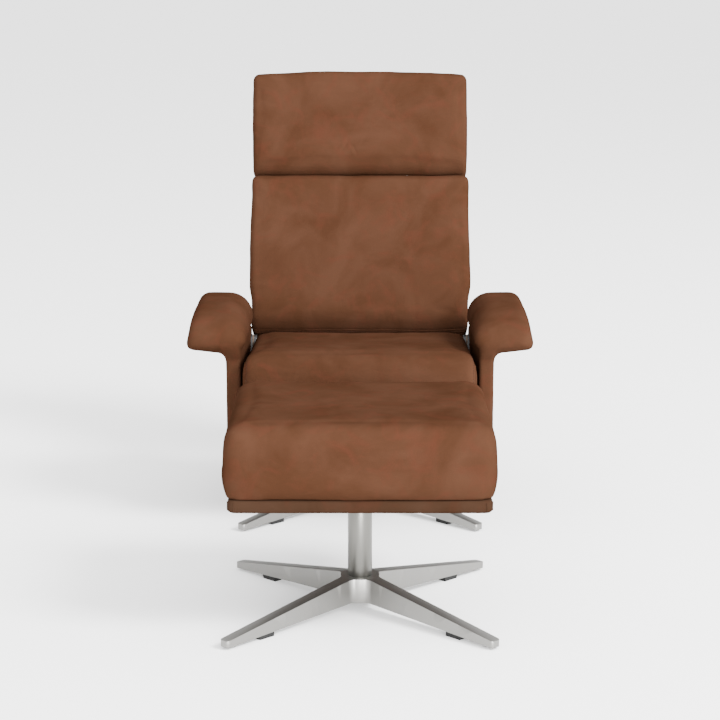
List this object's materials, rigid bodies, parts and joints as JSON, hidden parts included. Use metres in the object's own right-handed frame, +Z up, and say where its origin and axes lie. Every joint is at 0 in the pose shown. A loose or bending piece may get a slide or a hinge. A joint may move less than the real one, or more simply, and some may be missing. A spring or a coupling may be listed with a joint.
{
  "type": "recliner armchair with footstool",
  "caption": "Swivel recliner armchair with padded seat, tall back, tilting headrest and flared arms on a star base, with a matching swivel footstool.",
  "frame": {"origin": "centre of the set's bounding box, on the floor", "axes": "+Z up, the chair and the footstool face -Y, +X is the sitter's left; +Y is the set's longest side"},
  "size_m": [0.808, 1.5998, 1.0334],
  "materials": {
    "cast_aluminium": "satin, sand-cast and brushed",
    "satin_column": "satin",
    "rubber_pads": "matt",
    "brown_leather": "semi-matt, cloudy cognac brown",
    "leather_board": "plywood wrapped in brown leather",
    "plywood": "raw",
    "nylon": "matt",
    "black_plastic": "matt",
    "friction_disc": "matt",
    "bright_steel": "zinc-plated",
    "black_steel": "black powder coat"
  },
  "bodies": {
    "bases": {"chair_star_base": "cast_aluminium", "chair_floor_pads": "rubber_pads", "chair_column": "satin_column", "chair_column_bolt": "bright_steel", "chair_lower_bush": "nylon", "chair_upper_bush": "nylon", "chair_thrust_bearing": "bright_steel", "stool_star_base": "cast_aluminium", "stool_floor_pads": "rubber_pads", "stool_column": "satin_column", "stool_column_bolt": "bright_steel", "stool_lower_bush": "nylon", "stool_upper_bush": "nylon", "stool_thrust_bearing": "bright_steel"},
    "chassis": {"chair_spindle": "bright_steel", "swivel_plate": "black_steel", "swivel_plate_bolts": "bright_steel", "front_cross_tube": "black_steel", "rear_cross_tube": "black_steel", "side_rails": "black_steel", "slide_bearing_blocks": "nylon", "front_end_plates": "black_steel", "left_pivot_plate": "black_steel", "right_pivot_plate": "black_steel", "side_panel_bolts": "bright_steel", "left_side_panel_board": "plywood", "right_side_panel_board": "plywood", "left_arm_board": "plywood", "right_arm_board": "plywood", "left_arm_cover": "brown_leather", "right_arm_cover": "brown_leather", "friction_washers": "friction_disc", "pivot_bolts": "bright_steel"},
    "seat": {"seat_cushion": "brown_leather", "seat_board": "leather_board", "glide_rods": "bright_steel", "rod_holders": "black_steel", "seat_drive_plates": "black_steel"},
    "back": {"back_cushion": "brown_leather", "back_board": "plywood", "back_rear_cover": "brown_leather", "left_back_bracket": "black_steel", "right_back_bracket": "black_steel", "drive_pins": "bright_steel", "back_screws": "bright_steel", "headrest_posts": "black_steel"},
    "headrest": {"headrest_cushion": "brown_leather", "headrest_board": "plywood", "headrest_rear_cover": "brown_leather", "headrest_hinge_ears": "black_steel", "headrest_hinge_pins": "bright_steel"},
    "left_knob": {"left_tension_knob": "black_plastic"},
    "right_knob": {"right_tension_knob": "black_plastic"},
    "footstool": {"stool_spindle": "bright_steel", "stool_swivel_plate": "black_steel", "stool_plate_bolts": "bright_steel", "stool_board": "leather_board", "stool_cushion": "brown_leather"}
  },
  "joints": [
    {"name": "seat_swivel", "type": "hinge", "parent": "bases", "child": "chassis", "pos_m": [0, 0.30346, 0.2], "axis": [0, 0, 1], "continuous": true},
    {"name": "back_recline", "type": "hinge", "parent": "chassis", "child": "back", "pos_m": [0, 0.5315, 0.35798], "axis": [-1, 0, 0], "range_deg": [0, 30]},
    {"name": "seat_glide", "type": "slide", "parent": "chassis", "child": "seat", "axis": [0, -1, 0], "range_m": [0, 0.026]},
    {"name": "headrest_tilt", "type": "hinge", "parent": "back", "child": "headrest", "pos_m": [0, 0.70812, 0.8061], "axis": [1, 0, 0], "range_deg": [0, 35]},
    {"name": "left_knob_turn", "type": "hinge", "parent": "chassis", "child": "left_knob", "pos_m": [-0.32, 0.5315, 0.35798], "axis": [1, 0, 0], "range_deg": [-180, 180]},
    {"name": "right_knob_turn", "type": "hinge", "parent": "chassis", "child": "right_knob", "pos_m": [0.32, 0.5315, 0.35798], "axis": [1, 0, 0], "range_deg": [-180, 180]},
    {"name": "stool_swivel", "type": "hinge", "parent": "bases", "child": "footstool", "pos_m": [0, -0.53054, 0.26], "axis": [0, 0, 1], "continuous": true}
  ],
  "couplings": [
    {"joint": "seat_glide", "follows": "back_recline", "m_per_rad": 0.049431}
  ]
}
